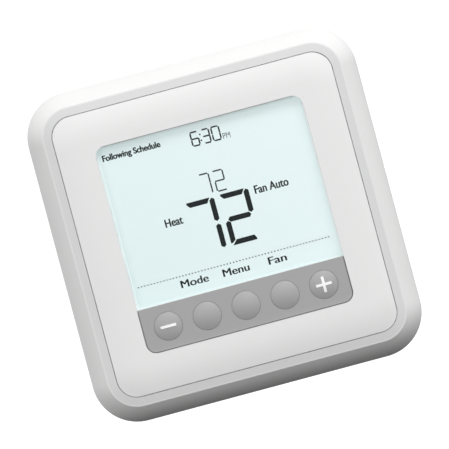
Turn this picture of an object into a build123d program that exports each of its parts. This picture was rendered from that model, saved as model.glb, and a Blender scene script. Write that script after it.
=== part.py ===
from build123d import *

import math
import os

# ---------------------------------------------------------------------------
# Wall thermostat. Millimetres. X to the right, Z up, the wall is the plane Y = 0
# and the front looks along -Y. The origin lies on the back of the wall plate, behind
# the middle of the square front. "Depth" below is the distance out from the wall.
# ---------------------------------------------------------------------------

# Outer housing
WIDTH = 103.9
HEIGHT = 103.9
CORNER_R = 14.0
WALL_GAP = 0.6            # between the skirt's edge and the wall
SKIRT_WALL = 2.0
SKIRT_INSET = 4.75        # from the outer edge in to the crease
SKIRT_TURN = 50.0         # degrees that the skirt turns between the crease and its upright side
CREASE_R = 0.3
RIM_WIDTH = 2.95
RIM_TILT_DROP = 0.45      # the rim strip falls this much from the parting line to the crease
RIM_SUNK = 0.15           # the rim starts this much below the front panel's edge
LEDGE_WIDTH = 1.6         # shelf behind the front panel
LEDGE_T = 1.7
PARTING_GAP = 0.2         # groove between rim and front panel

# Depth stack, from the wall outwards
CELL_BACK = 4.4           # wall to battery cells
CELL_D = 14.2
CELL_CLEAR = 0.2
BAY_FLOOR = 1.0
FRAME_CLEAR = 0.2
FRAME_T = 3.9             # display frame
FASCIA_T = 2.2            # lens and keypad fascia
PANEL_LIP = 0.4           # front panel stands this much above lens and fascia
DOME_H = 0.8              # button domes above the fascia

# Front panel and window
PANEL_FLAT = 3.0          # flat border round the window
PANEL_ROLL = 0.9          # fall of the panel from that border to its edge
PILLOW_OVERRUN = 3.0      # the pillow's shape is cut from a block this much larger
PILLOW_CORNER_R = 2.0     # corner of the flat field round the window
PANEL_BORDER_X = 11.44    # panel's edge to the window, at the sides
PANEL_BORDER_Z = 11.44    # the same above and below
WINDOW_R = 3.2
WINDOW_GAP = 0.25
KEY_BAND_H = 14.05        # height of the keypad fascia, at the window's bottom
BAND_GAP = 0.1            # between lens and fascia
LENS_CHAMFER = 0.35

# Buttons
BUTTON_COUNT = 5
BUTTON_PITCH = 12.3
BUTTON_D = 8.7
BUTTON_GAP = 0.08
BUTTON_TRAVEL = 0.6
BUTTON_ROW = 7.15         # window bottom up to the buttons' centres
FLANGE_LIP = 0.75
FLANGE_T = 0.8
FLANGE_GAP = 0.05
STEM_D = 3.0
MARK_LENGTH = 4.9
MARK_STROKE = 0.8
MARK_DEPTH = 0.5
MARK_PROUD = 0.12

# Display stack and frame
FRAME_BORDER = 2.2        # the frame reaches this far outside the window
FRAME_SEAT = 0.4          # the frame's opening is this much smaller than the window
GLASS_T = 1.6
GLASS_GAP = 0.15
BACKLIGHT_T = 1.8
CONNECTOR_W = 1.8
KEY_POCKET_WEB = 1.7      # frame left behind the key flanges

# Circuit board and what is on it
BOARD_T = 1.6
BOARD_EDGE = 4.8          # board edge in from the case's side edges
BOARD_LOW_EDGE = 4.0      # the same at the bottom
BOARD_TOP_GAP = 0.4       # board to the battery bay
SWITCH_W = 4.4
SWITCH_H = 1.4
SWITCH_HOLE = 5.2
PLUNGER_D = 2.2
PLUNGER_H = 0.8
RELAY_SIZE = (14.0, 4.8, 9.0)
RELAY_CLEAR = 0.4         # relays to the rear case
RELAY_COUNT = 3
RELAY_PITCH = 18.0
RELAY_UP = 11.0           # relays' middle above the board's bottom edge
CHIP_W = 10.0
CHIP_H = 1.4
CHIP_X = 8.0
CAN_D = 5.0
CAN_H = 4.6
CAN_COUNT = 4
CAN_PITCH = 7.0
CAN_DOWN = 6.0            # capacitors' middle below the board's top edge
SENSOR_SIZE = (2.4, 1.6, 3.6)
POST_D = 5.0
POST_GAP = 0.6            # board posts to the display frame
BOARD_SCREW_D = 2.2
BOARD_SCREW_HEAD = 4.2
BOARD_SCREW_HEAD_H = 1.5

# Rear case
CASE_T = 1.6
CASE_GAP = 0.35           # rear case to the inside of the skirt
RECESS_GAP = 0.6          # recess wall to the wall plate
RECESS_WALL = 1.4
RECESS_BACK = 3.0         # recess wall ends this far from the wall
BAY_WALL = 1.0
BAY_TO_RECESS = 0.8       # between the battery bay and the wall plate's recess
RECESS_SIDE = 2.1         # recess wall to the case's side edges
RECESS_BOTTOM = 2.6       # recess wall to the case's bottom edge
BAY_TOP_GAP = 2.95        # bay's inside to the inside of the skirt, at the top
CELL_GAP = 0.6
CELL_BODY_L = 49.5
CELL_NUB_D = 5.5
CELL_NUB_L = 1.0
SPRING_L = 3.5
SPRING_WIRE = 0.7
SPRING_TURNS = 3
CONTACT_PLATE_T = 0.4
CONTACT_PLATE_W = 10.0
BOSS_D = 6.0
BOSS_NOTCH = 10.6         # square notch in the board round a boss
BOSS_IN = 9.45            # boss centre in from the housing's outer edges
CASE_SCREW_D = 2.5
CASE_SCREW_HEAD = 5.0
CASE_SCREW_HEAD_H = 1.8
CASE_SCREW_L = 8.0
VENT_W = 1.8
VENT_BACK = 3.4           # skirt vents begin this far from the wall
VENT_L = 6.0
VENT_PITCH = 4.6
VENT_COUNT = 9

# Wall plate
PLATE_T = 2.0
PLATE_WALL = 1.6
PLATE_DEPTH = 9.5
PLATE_R = 4.0
TAB_PROUD = 0.8
PLATE_TO_CASE = 1.3       # between the push tabs and the rear case
ENTRY_W = 24.0            # wire entry
ENTRY_H = 20.0
ENTRY_R = 3.0
SCREW_SPACING = 35.0
SCREW_SLOT_W = 4.4
SCREW_SLOT_L = 6.0
BLOCK_W = 12.0
BLOCK_DEPTH = 7.0
BLOCK_GAP = 0.2
TERMINAL_COUNT = 5
BLOCK_END = 4.5           # terminal block's ends to the plate's walls
TAB_W = 3.6
TAB_H = 4.6
TAB_SIDE = 0.2            # clearance round a push tab
TAB_TRAVEL = 1.0
TAB_DEEP = 3.5            # how far a push tab reaches into its block
TAB_IN = 4.2              # tab centre from the block's inner face
SOCKET_IN = 9.0           # pin socket centre from the block's inner face
SOCKET_W = 1.9
CONTACT_T = 0.3
CONTACT_GAP = 0.1         # contact leaf to header pin
WIRE_HOLE_D = 2.2
PIN_W = 0.8
PIN_TIP = 4.5             # pin tip from the wall
HEADER_W = 3.0
HEADER_END = 3.0

# Door over the wires, and the power link slider
DOOR_T = 1.2
DOOR_SIDE = 0.5
HINGE_PIN_D = 1.8
HINGE_CLEAR = 0.08
KNUCKLE_D = 3.8
KNUCKLE_W = 6.0
LUG_T = 2.0
LUG_CLEAR = 0.3
DOOR_GRIP_W = 12.0
LINK_L = 8.0
LINK_W = 4.6
LINK_FLOOR = 0.1
LINK_FLANGE = 1.0
LINK_KNOB_L = 4.0
LINK_KNOB_W = 2.6
LINK_KNOB_H = 5.2
LINK_TRAVEL = 4.0
LINK_CLEAR = 0.2
RAIL_T = 1.0
RAIL_H = 2.4              # rails beside the slider stand this high
RAIL_LIP = 0.8            # lips that hold the slider down
RAIL_LIP_OVER = 0.3       # a lip reaches this far over the slider
LINK_DOWN = 1.2           # rails to the plate's top wall

# ---------------------------------------------------------------------------
# Places that follow from the sizes above
# ---------------------------------------------------------------------------

TAB_FRONT = PLATE_DEPTH + TAB_PROUD
CASE_BACK = TAB_FRONT + PLATE_TO_CASE
CASE_FRONT = CASE_BACK + CASE_T

# The board stands clear of both the battery bay and the parts that hang from its own back.
BAY_STACK = CELL_BACK + CELL_D + CELL_CLEAR + BAY_FLOOR + FRAME_CLEAR
RELAY_STACK = CASE_FRONT + RELAY_CLEAR + RELAY_SIZE[1] + BOARD_T
BOARD_FRONT = max(BAY_STACK, RELAY_STACK)
BOARD_BACK = BOARD_FRONT - BOARD_T
PANEL_BACK = BOARD_FRONT + FRAME_T
FASCIA_FRONT = PANEL_BACK + FASCIA_T
PANEL_FRONT = FASCIA_FRONT + PANEL_LIP
PANEL_EDGE = PANEL_FRONT - PANEL_ROLL
RIM_FRONT = PANEL_EDGE - RIM_SUNK
CREASE_DEPTH = RIM_FRONT - RIM_TILT_DROP

PARTING_INSET = SKIRT_INSET + RIM_WIDTH
PANEL_W = WIDTH - 2 * (PARTING_INSET + PARTING_GAP / 2)
PANEL_H = HEIGHT - 2 * (PARTING_INSET + PARTING_GAP / 2)
PANEL_R = CORNER_R - PARTING_INSET - PARTING_GAP / 2
WINDOW_W = PANEL_W - 2 * PANEL_BORDER_X
WINDOW_H = PANEL_H - 2 * PANEL_BORDER_Z

BAND_TOP = -WINDOW_H / 2 + KEY_BAND_H
BUTTON_Z = -WINDOW_H / 2 + BUTTON_ROW
DOME_R = ((BUTTON_D / 2) ** 2 + DOME_H ** 2) / (2 * DOME_H)

CASE_W = WIDTH - 2 * (SKIRT_WALL + CASE_GAP)
CASE_H = HEIGHT - 2 * (SKIRT_WALL + CASE_GAP)
CASE_R = CORNER_R - SKIRT_WALL - CASE_GAP

BAY_L = CELL_BODY_L + CELL_NUB_L + SPRING_L + 2 * CONTACT_PLATE_T
BAY_H = 2 * CELL_D + CELL_GAP + 2 * CELL_CLEAR
BAY_TOP = HEIGHT / 2 - SKIRT_WALL - BAY_TOP_GAP
BAY_BOTTOM = BAY_TOP - BAY_H
BAY_MIDDLE = (BAY_TOP + BAY_BOTTOM) / 2
CELL_DEPTH = CELL_BACK + CELL_D / 2

PLATE_W = CASE_W - 2 * (RECESS_WALL + RECESS_GAP + RECESS_SIDE)
PLATE_TOP = BAY_BOTTOM - BAY_WALL - RECESS_GAP - BAY_TO_RECESS
PLATE_BOTTOM = -CASE_H / 2 + RECESS_WALL + RECESS_GAP + RECESS_BOTTOM
PLATE_H = PLATE_TOP - PLATE_BOTTOM
PLATE_Z = (PLATE_TOP + PLATE_BOTTOM) / 2

BLOCK_OUTER = PLATE_W / 2 - PLATE_WALL - BLOCK_GAP
BLOCK_INNER = BLOCK_OUTER - BLOCK_W
BLOCK_H = PLATE_H - 2 * (PLATE_WALL + BLOCK_END)
TERMINAL_PITCH = BLOCK_H / TERMINAL_COUNT
BLOCK_FRONT = PLATE_T + BLOCK_DEPTH
TERMINAL_Z = [
    PLATE_Z + (i - (TERMINAL_COUNT - 1) / 2) * TERMINAL_PITCH for i in range(TERMINAL_COUNT)
]
TAB_X = BLOCK_INNER + TAB_IN
SOCKET_X = BLOCK_INNER + SOCKET_IN

HINGE_Z = PLATE_BOTTOM + PLATE_WALL + DOOR_SIDE + KNUCKLE_D / 2
HINGE_DEPTH = PLATE_DEPTH - KNUCKLE_D / 2
DOOR_HALF = BLOCK_INNER - DOOR_SIDE
KNUCKLE_X = DOOR_HALF - LUG_T - LUG_CLEAR - KNUCKLE_W / 2
LINK_Z = PLATE_TOP - PLATE_WALL - LINK_W / 2 - RAIL_T - LINK_CLEAR - LINK_DOWN
LINK_RAIL_L = LINK_L + LINK_TRAVEL + 3
LINK_X = DOOR_HALF - LINK_RAIL_L / 2 - 1

BOARD_W = CASE_W - 2 * BOARD_EDGE
BOARD_TOP = BAY_BOTTOM - BAY_WALL - BOARD_TOP_GAP
BOARD_BOTTOM = -CASE_H / 2 + BOARD_LOW_EDGE

BUTTON_NAMES = ["minus", "left", "middle", "right", "plus"]
BUTTON_X = [(i - (BUTTON_COUNT - 1) / 2) * BUTTON_PITCH for i in range(BUTTON_COUNT)]


# ---------------------------------------------------------------------------
# Helpers
# ---------------------------------------------------------------------------

def prism(outline, back, front):
    """The outline, drawn with X and Z as its axes, filled from one depth to another."""
    return extrude(Plane.XZ.offset(back) * outline, amount=front - back)


def plate(width, height, back, front, x=0.0, z=0.0, radius=0.0):
    """A flat slab parallel to the wall, with rounded corners if a radius is given."""
    outline = RectangleRounded(width, height, radius) if radius else Rectangle(width, height)
    return prism(Pos(x, z) * outline, back, front)


def round_bar(diameter, back, front, x=0.0, z=0.0):
    """A round bar that points straight out from the wall."""
    return prism(Pos(x, z) * Circle(diameter / 2), back, front)


def slab(x_low, x_high, z_low, z_high, back, front):
    """A block given by its sides."""
    return plate(x_high - x_low, z_high - z_low, back, front, (x_low + x_high) / 2, (z_low + z_high) / 2)


def frame_ring(width, height, wall, back, front, x=0.0, z=0.0, radius=0.0):
    """A rectangular loop of wall, measured on its inside."""
    outer = plate(width + 2 * wall, height + 2 * wall, back, front, x, z, radius + wall if radius else 0.0)
    return outer - plate(width, height, back, front, x, z, radius)


def side_bar(diameter, x_low, x_high, z, depth):
    """A round bar along X."""
    return extrude(Plane.YZ.offset(x_low) * (Pos(-depth, z) * Circle(diameter / 2)), amount=x_high - x_low)


def ring_of(section, width, height, corner_r):
    """A rounded-square ring. The section's X is the way in from the outer edge, its Y the depth."""
    straight_x = width - 2 * corner_r
    straight_z = height - 2 * corner_r
    ring = None
    for side in (-1, 1):
        side_x = side * width / 2
        upright = Plane(origin=(side_x, 0, -straight_z / 2), x_dir=(-side, 0, 0), z_dir=(0, 0, side))
        bar = extrude(upright * section, amount=side * straight_z)
        side_z = side * height / 2
        level = Plane(origin=(-straight_x / 2, 0, side_z), x_dir=(0, 0, -side), z_dir=(-side, 0, 0))
        beam = extrude(level * section, amount=-side * straight_x)
        ring = bar + beam if ring is None else ring + bar + beam
    for x_side in (-1, 1):
        for z_side in (-1, 1):
            corner_x = x_side * straight_x / 2
            corner_z = z_side * straight_z / 2
            side_x = x_side * width / 2
            start = Plane(origin=(side_x, 0, corner_z), x_dir=(-x_side, 0, 0), z_dir=(0, 0, x_side))
            pivot = Axis((corner_x, 0, corner_z), (0, 1, 0))
            ring += revolve(start * section, axis=pivot, revolution_arc=-90 * x_side * z_side)
    return ring


def group(solids):
    """Separate solids kept together as one sub-part."""
    return Compound(children=list(solids))


def save(name, shape):
    export_step(shape, os.path.join("parts", name + ".step"))


# ---------------------------------------------------------------------------
# Front of the thermostat
# ---------------------------------------------------------------------------

def housing_section():
    """Cross-section of the housing wall: X is the way in from the outer edge, Y the depth."""
    turn = math.radians(SKIRT_TURN)
    skirt_r = SKIRT_INSET / (1 - math.cos(turn))
    side_top = CREASE_DEPTH - skirt_r * math.sin(turn)
    inner_r = skirt_r - SKIRT_WALL
    ledge_back = PANEL_BACK - LEDGE_T
    ledge_in = PARTING_INSET - PARTING_GAP / 2 + LEDGE_WIDTH
    inner_turn = math.asin((ledge_back - side_top) / inner_r)
    half = turn / 2
    outer_middle = (skirt_r * (1 - math.cos(half)), side_top + skirt_r * math.sin(half))
    inner_half = inner_turn / 2
    inner_end = (skirt_r - inner_r * math.cos(inner_turn), ledge_back)
    inner_middle = (
        skirt_r - inner_r * math.cos(inner_half),
        side_top + inner_r * math.sin(inner_half),
    )
    rim_in = (PARTING_INSET - PARTING_GAP / 2, RIM_FRONT)
    crease = (SKIRT_INSET, CREASE_DEPTH)
    lines = [
        Line((0, WALL_GAP), (0, side_top)),
        ThreePointArc((0, side_top), outer_middle, crease),
        Line(crease, rim_in),
        Line(rim_in, (rim_in[0], PANEL_BACK)),
        Line((rim_in[0], PANEL_BACK), (ledge_in, PANEL_BACK)),
        Line((ledge_in, PANEL_BACK), (ledge_in, ledge_back)),
        Line((ledge_in, ledge_back), inner_end),
        ThreePointArc(inner_end, inner_middle, (SKIRT_WALL, side_top)),
        Line((SKIRT_WALL, side_top), (SKIRT_WALL, WALL_GAP)),
        Line((SKIRT_WALL, WALL_GAP), (0, WALL_GAP)),
    ]
    return make_face(lines), crease


def front_housing():
    """The rounded-square skirt and rim, with its screw bosses and air slots."""
    section, crease = housing_section()
    near_crease = section.vertices().sort_by_distance(crease)[0]
    section = fillet(near_crease, CREASE_R)
    ring = ring_of(section, WIDTH, HEIGHT, CORNER_R)
    boss_x = WIDTH / 2 - BOSS_IN
    boss_z = HEIGHT / 2 - BOSS_IN
    for x in (-boss_x, boss_x):
        for z in (-boss_z, boss_z):
            ring += round_bar(BOSS_D, CASE_FRONT, PANEL_BACK - LEDGE_T / 2, x, z)
            ring -= round_bar(CASE_SCREW_D, CASE_FRONT, CASE_BACK + CASE_SCREW_L, x, z)
    for i in range(VENT_COUNT):
        x = (i - (VENT_COUNT - 1) / 2) * VENT_PITCH
        ring -= plate(VENT_W, HEIGHT + 2, VENT_BACK, VENT_BACK + VENT_L, x)
    return ring


def pillow():
    """A block whose front is flat round the window and rolls off evenly towards all edges and corners."""
    run = PANEL_BORDER_X - PANEL_FLAT
    roll_r = (run ** 2 + PANEL_ROLL ** 2) / (2 * PANEL_ROLL)
    low = PANEL_BACK - PILLOW_OVERRUN
    reach = run + PILLOW_OVERRUN

    def roll(offset):
        return PANEL_FRONT - (roll_r - math.sqrt(roll_r ** 2 - offset ** 2))

    lines = [
        ThreePointArc((reach, PANEL_FRONT), (reach / 2, roll(reach / 2)), (0, roll(reach))),
        Line((0, roll(reach)), (0, low)),
        Line((0, low), (reach, low)),
        Line((reach, low), (reach, PANEL_FRONT)),
    ]
    width = PANEL_W + 2 * PILLOW_OVERRUN
    height = PANEL_H + 2 * PILLOW_OVERRUN
    rolled = ring_of(make_face(lines), width, height, reach + PILLOW_CORNER_R)
    return rolled + plate(width - 2 * reach, height - 2 * reach, low, PANEL_FRONT, radius=PILLOW_CORNER_R)


def front_panel():
    """The pillowed square front panel with its window, and the posts that hold the circuit board."""
    body = plate(PANEL_W, PANEL_H, PANEL_BACK, PANEL_FRONT + PILLOW_OVERRUN, radius=PANEL_R)
    body &= pillow()
    body -= plate(WINDOW_W, WINDOW_H, PANEL_BACK, PANEL_FRONT, radius=WINDOW_R)
    for x, z in post_places():
        body += round_bar(POST_D, BOARD_FRONT, PANEL_BACK, x, z)
        body -= round_bar(BOARD_SCREW_D, BOARD_FRONT, PANEL_BACK, x, z)
    return body


def post_places():
    """Centres of the four board posts, clear of the display frame and the pin headers."""
    post_x = WINDOW_W / 2 + FRAME_BORDER + POST_D / 2 + POST_GAP
    top_z = BOARD_TOP - POST_D / 2 - POST_GAP
    low_x = BUTTON_X[-1] + POST_D
    low_z = -WINDOW_H / 2 - FRAME_BORDER - POST_D / 2 - POST_GAP
    return [(-post_x, top_z), (post_x, top_z), (-low_x, low_z), (low_x, low_z)]


def window_part(z_low, z_high, back, front):
    """The part of the window between two heights, clear of the panel by the window gap."""
    width = WINDOW_W - 2 * WINDOW_GAP
    height = WINDOW_H - 2 * WINDOW_GAP
    whole = plate(width, height, back, front, radius=WINDOW_R - WINDOW_GAP)
    return whole & slab(-WINDOW_W, WINDOW_W, z_low, z_high, back, front)


def display_lens():
    """Clear window over the display, with its front edge eased."""
    lens = window_part(BAND_TOP + BAND_GAP, WINDOW_H, PANEL_BACK, FASCIA_FRONT)
    front_face = lens.faces().sort_by(Axis.Y)[0]
    return chamfer(front_face.edges(), LENS_CHAMFER)


def keypad_fascia():
    """Grey band below the display with the button holes."""
    band = window_part(-WINDOW_H, BAND_TOP, PANEL_BACK, FASCIA_FRONT)
    for x in BUTTON_X:
        band -= round_bar(BUTTON_D + 2 * BUTTON_GAP, PANEL_BACK, FASCIA_FRONT, x, BUTTON_Z)
    return band


def mark_outline(is_plus):
    bars = Rectangle(MARK_LENGTH, MARK_STROKE)
    if is_plus:
        bars += Rectangle(MARK_STROKE, MARK_LENGTH)
    return bars


def button(x, mark):
    """A domed key with a retaining flange and a stem that reaches its switch."""
    ball_depth = FASCIA_FRONT + DOME_H - DOME_R
    flange_front = PANEL_BACK - FLANGE_GAP
    flange_back = flange_front - FLANGE_T
    cap = round_bar(BUTTON_D, flange_front, FASCIA_FRONT + DOME_H, x, BUTTON_Z)
    cap &= Pos(x, -ball_depth, BUTTON_Z) * Sphere(DOME_R)
    cap += round_bar(BUTTON_D + 2 * FLANGE_LIP, flange_back, flange_front, x, BUTTON_Z)
    cap += round_bar(STEM_D, plunger_front(), flange_back, x, BUTTON_Z)
    if mark is not None:
        cap -= prism(Pos(x, BUTTON_Z) * mark, FASCIA_FRONT + DOME_H - MARK_DEPTH, FASCIA_FRONT + DOME_H + 1)
    return cap


def button_mark(x, mark):
    """The white sign moulded into a key, standing slightly above the dome."""
    ball_depth = FASCIA_FRONT + DOME_H - DOME_R
    bars = prism(Pos(x, BUTTON_Z) * mark, FASCIA_FRONT + DOME_H - MARK_DEPTH, FASCIA_FRONT + DOME_H + 1)
    return bars & (Pos(x, -ball_depth, BUTTON_Z) * Sphere(DOME_R + MARK_PROUD))


def plunger_front():
    return BOARD_FRONT + SWITCH_H + PLUNGER_H - 0.1


# ---------------------------------------------------------------------------
# Inside the front
# ---------------------------------------------------------------------------

def glass_sides():
    """Left, right, bottom and top of the opening that holds the display glass."""
    half = WINDOW_W / 2 - FRAME_SEAT
    return -half, half, BAND_TOP + FRAME_SEAT / 2, WINDOW_H / 2 - FRAME_SEAT


def display_frame():
    """Carrier behind the window: it holds the display stack and backs the keypad fascia."""
    width = WINDOW_W + 2 * FRAME_BORDER
    height = WINDOW_H + 2 * FRAME_BORDER
    frame = plate(width, height, BOARD_FRONT, PANEL_BACK, radius=WINDOW_R)
    left, right, low, high = glass_sides()
    frame -= slab(left, right, low, high, BOARD_FRONT, PANEL_BACK)
    pocket_floor = PANEL_BACK - KEY_POCKET_WEB
    pocket_low = BUTTON_Z - BUTTON_D / 2 - FLANGE_LIP - 0.4
    pocket_high = BUTTON_Z + BUTTON_D / 2 + FLANGE_LIP + 0.4
    pocket_side = BUTTON_X[-1] + BUTTON_D / 2 + FLANGE_LIP + 0.4
    frame -= slab(-pocket_side, pocket_side, pocket_low, pocket_high, pocket_floor, PANEL_BACK)
    for x in BUTTON_X:
        frame -= plate(SWITCH_HOLE, SWITCH_HOLE, BOARD_FRONT, pocket_floor, x, BUTTON_Z)
    return frame


def display_stack():
    """Display glass, its backlight and the rubber strip that connects the glass to the board."""
    left, right, low, high = glass_sides()
    glass_front = PANEL_BACK - GLASS_GAP
    glass_back = glass_front - GLASS_T
    glass_left = left + GLASS_GAP
    glass_right = right - GLASS_GAP
    glass = slab(glass_left, glass_right, low + GLASS_GAP, high - GLASS_GAP, glass_back, glass_front)
    light_low = low + GLASS_GAP + CONNECTOR_W + 0.4
    light_back = glass_back - BACKLIGHT_T
    light = slab(glass_left, glass_right, light_low, high - GLASS_GAP, light_back, glass_back)
    strip = slab(left + 5, right - 5, low + GLASS_GAP, low + GLASS_GAP + CONNECTOR_W, BOARD_FRONT, glass_back)
    return glass, light, strip


def header_pins(side):
    """The row of square pins that plugs into one terminal block."""
    return [
        plate(PIN_W, PIN_W, PIN_TIP, BOARD_FRONT + 0.8, side * SOCKET_X, z) for z in TERMINAL_Z
    ]


def pin_header(side):
    """Moulded body that holds a row of pins on the board."""
    length = (TERMINAL_COUNT - 1) * TERMINAL_PITCH + 2 * HEADER_END
    body = plate(HEADER_W, length, CASE_BACK + 0.4, BOARD_BACK, side * SOCKET_X, PLATE_Z)
    for pin in header_pins(side):
        body -= pin
    return body


def circuit_board():
    """Main board, cut away round the housing bosses."""
    board = slab(-BOARD_W / 2, BOARD_W / 2, BOARD_BOTTOM, BOARD_TOP, BOARD_BACK, BOARD_FRONT)
    boss_x = WIDTH / 2 - BOSS_IN
    boss_z = HEIGHT / 2 - BOSS_IN
    for x in (-boss_x, boss_x):
        board -= plate(BOSS_NOTCH, BOSS_NOTCH, BOARD_BACK, BOARD_FRONT, x, -boss_z)
    for x, z in post_places():
        board -= round_bar(BOARD_SCREW_D, BOARD_BACK, BOARD_FRONT, x, z)
    for side in (-1, 1):
        for pin in header_pins(side):
            board -= pin
    return board


def switch_base(x):
    base = plate(SWITCH_W, SWITCH_W, BOARD_FRONT, BOARD_FRONT + SWITCH_H, x, BUTTON_Z)
    return base - round_bar(PLUNGER_D + 0.4, BOARD_FRONT + 0.4, BOARD_FRONT + SWITCH_H, x, BUTTON_Z)


def switch_plunger(x):
    front = plunger_front()
    return round_bar(PLUNGER_D, front - PLUNGER_H, front, x, BUTTON_Z)


def relays():
    width, height, length = RELAY_SIZE
    z = BOARD_BOTTOM + RELAY_UP
    return group(
        plate(width, length, BOARD_BACK - height, BOARD_BACK, (i - (RELAY_COUNT - 1) / 2) * RELAY_PITCH, z)
        for i in range(RELAY_COUNT)
    )


def capacitors():
    z = BOARD_TOP - CAN_DOWN
    return group(
        round_bar(CAN_D, BOARD_BACK - CAN_H, BOARD_BACK, (i - (CAN_COUNT - 1) / 2) * CAN_PITCH, z)
        for i in range(CAN_COUNT)
    )


def microcontroller():
    middle = (BOARD_BOTTOM + BOARD_TOP) / 2
    return plate(CHIP_W, CHIP_W, BOARD_BACK - CHIP_H, BOARD_BACK, CHIP_X, middle)


def temperature_sensor():
    width, height, length = SENSOR_SIZE
    return plate(width, length, BOARD_BACK - height, BOARD_BACK, 0, BOARD_BOTTOM + length)


def screw(x, z, seat, head_d, head_h, shank_d, shank_l):
    """A pan-head screw driven outwards from the wall side, its head behind the seat."""
    head = round_bar(head_d, seat - head_h, seat, x, z)
    head = fillet(head.edges().sort_by(Axis.Y)[-1], head_h * 0.45)
    head -= plate(head_d * 0.62, 0.6, seat - head_h, seat - head_h * 0.45, x, z)
    head -= plate(0.6, head_d * 0.62, seat - head_h, seat - head_h * 0.45, x, z)
    return head + round_bar(shank_d, seat, seat + shank_l, x, z)


def board_screws():
    return group(
        screw(x, z, BOARD_BACK, BOARD_SCREW_HEAD, BOARD_SCREW_HEAD_H, BOARD_SCREW_D, BOARD_T + FRAME_T - 0.6)
        for x, z in post_places()
    )


# ---------------------------------------------------------------------------
# Back of the thermostat
# ---------------------------------------------------------------------------

def rear_case():
    """Back cover with the recess for the wall plate and the open battery bay."""
    case = plate(CASE_W, CASE_H, CASE_BACK, CASE_FRONT, radius=CASE_R)
    recess_w = PLATE_W + 2 * RECESS_GAP
    recess_h = PLATE_H + 2 * RECESS_GAP
    recess_r = PLATE_R + RECESS_GAP
    case += frame_ring(recess_w, recess_h, RECESS_WALL, RECESS_BACK, CASE_BACK, 0, PLATE_Z, recess_r)
    bay_front = BOARD_FRONT - FRAME_CLEAR
    case += plate(BAY_L + 2 * BAY_WALL, BAY_H + 2 * BAY_WALL, RECESS_BACK, bay_front, 0, BAY_MIDDLE)
    case -= plate(BAY_L, BAY_H, RECESS_BACK, bay_front - BAY_FLOOR, 0, BAY_MIDDLE)
    header_l = (TERMINAL_COUNT - 1) * TERMINAL_PITCH + 2 * HEADER_END + 0.8
    for side in (-1, 1):
        case -= plate(HEADER_W + 0.8, header_l, CASE_BACK, CASE_FRONT, side * SOCKET_X, PLATE_Z)
    for x, z in case_screw_places():
        case -= round_bar(CASE_SCREW_D, CASE_BACK, CASE_FRONT, x, z)
        case -= round_bar(CASE_SCREW_HEAD + 0.4, RECESS_BACK, CASE_BACK, x, z)
    for i in range(VENT_COUNT):
        x = (i - (VENT_COUNT - 1) / 2) * VENT_PITCH
        case -= plate(VENT_W, VENT_L, CASE_BACK, CASE_FRONT, x, PLATE_BOTTOM + VENT_L)
    return case


def case_screw_places():
    boss_x = WIDTH / 2 - BOSS_IN
    boss_z = HEIGHT / 2 - BOSS_IN
    return [(x, z) for x in (-boss_x, boss_x) for z in (-boss_z, boss_z)]


def case_screws():
    return group(
        screw(x, z, CASE_BACK, CASE_SCREW_HEAD, CASE_SCREW_HEAD_H, CASE_SCREW_D, CASE_SCREW_L)
        for x, z in case_screw_places()
    )


def cell_places():
    """Height and pointing direction of the two battery cells."""
    offset = (CELL_D + CELL_GAP) / 2
    return [(BAY_MIDDLE + offset, 1), (BAY_MIDDLE - offset, -1)]


def battery(z, way):
    """One cell, with its raised end pointing along X by way."""
    nub_tip = way * (BAY_L / 2 - CONTACT_PLATE_T)
    shoulder = nub_tip - way * CELL_NUB_L
    tail = shoulder - way * CELL_BODY_L
    can = side_bar(CELL_D, min(shoulder, tail), max(shoulder, tail), z, CELL_DEPTH)
    nub = side_bar(CELL_NUB_D, min(shoulder, nub_tip), max(shoulder, nub_tip), z, CELL_DEPTH)
    return can + nub


def contact_plates():
    """Flat contact plates at both ends of the battery bay."""
    plates = []
    for z, _ in cell_places():
        for side in (-1, 1):
            inner = side * (BAY_L / 2 - CONTACT_PLATE_T)
            outer = side * BAY_L / 2
            half = CONTACT_PLATE_W / 2
            back = CELL_DEPTH - half
            front = CELL_DEPTH + half
            plates.append(slab(min(inner, outer), max(inner, outer), z - half, z + half, back, front))
    return group(plates)


def battery_springs():
    """Coil springs against the flat ends of the cells."""
    springs = []
    coil_r = CONTACT_PLATE_W / 2 - 1.4
    pitch = (SPRING_L - SPRING_WIRE - 0.1) / SPRING_TURNS
    for z, way in cell_places():
        start = -way * (BAY_L / 2 - CONTACT_PLATE_T) + way * (SPRING_WIRE / 2 + 0.05)
        place = (start, -CELL_DEPTH, z)
        path = Helix(pitch, pitch * SPRING_TURNS, coil_r, direction=(way, 0, 0), center=place)
        wire_plane = Plane(origin=path @ 0, z_dir=path % 0)
        springs.append(sweep(wire_plane * Circle(SPRING_WIRE / 2), path=path, is_frenet=True))
    return group(springs)


# ---------------------------------------------------------------------------
# Wall plate
# ---------------------------------------------------------------------------

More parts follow.
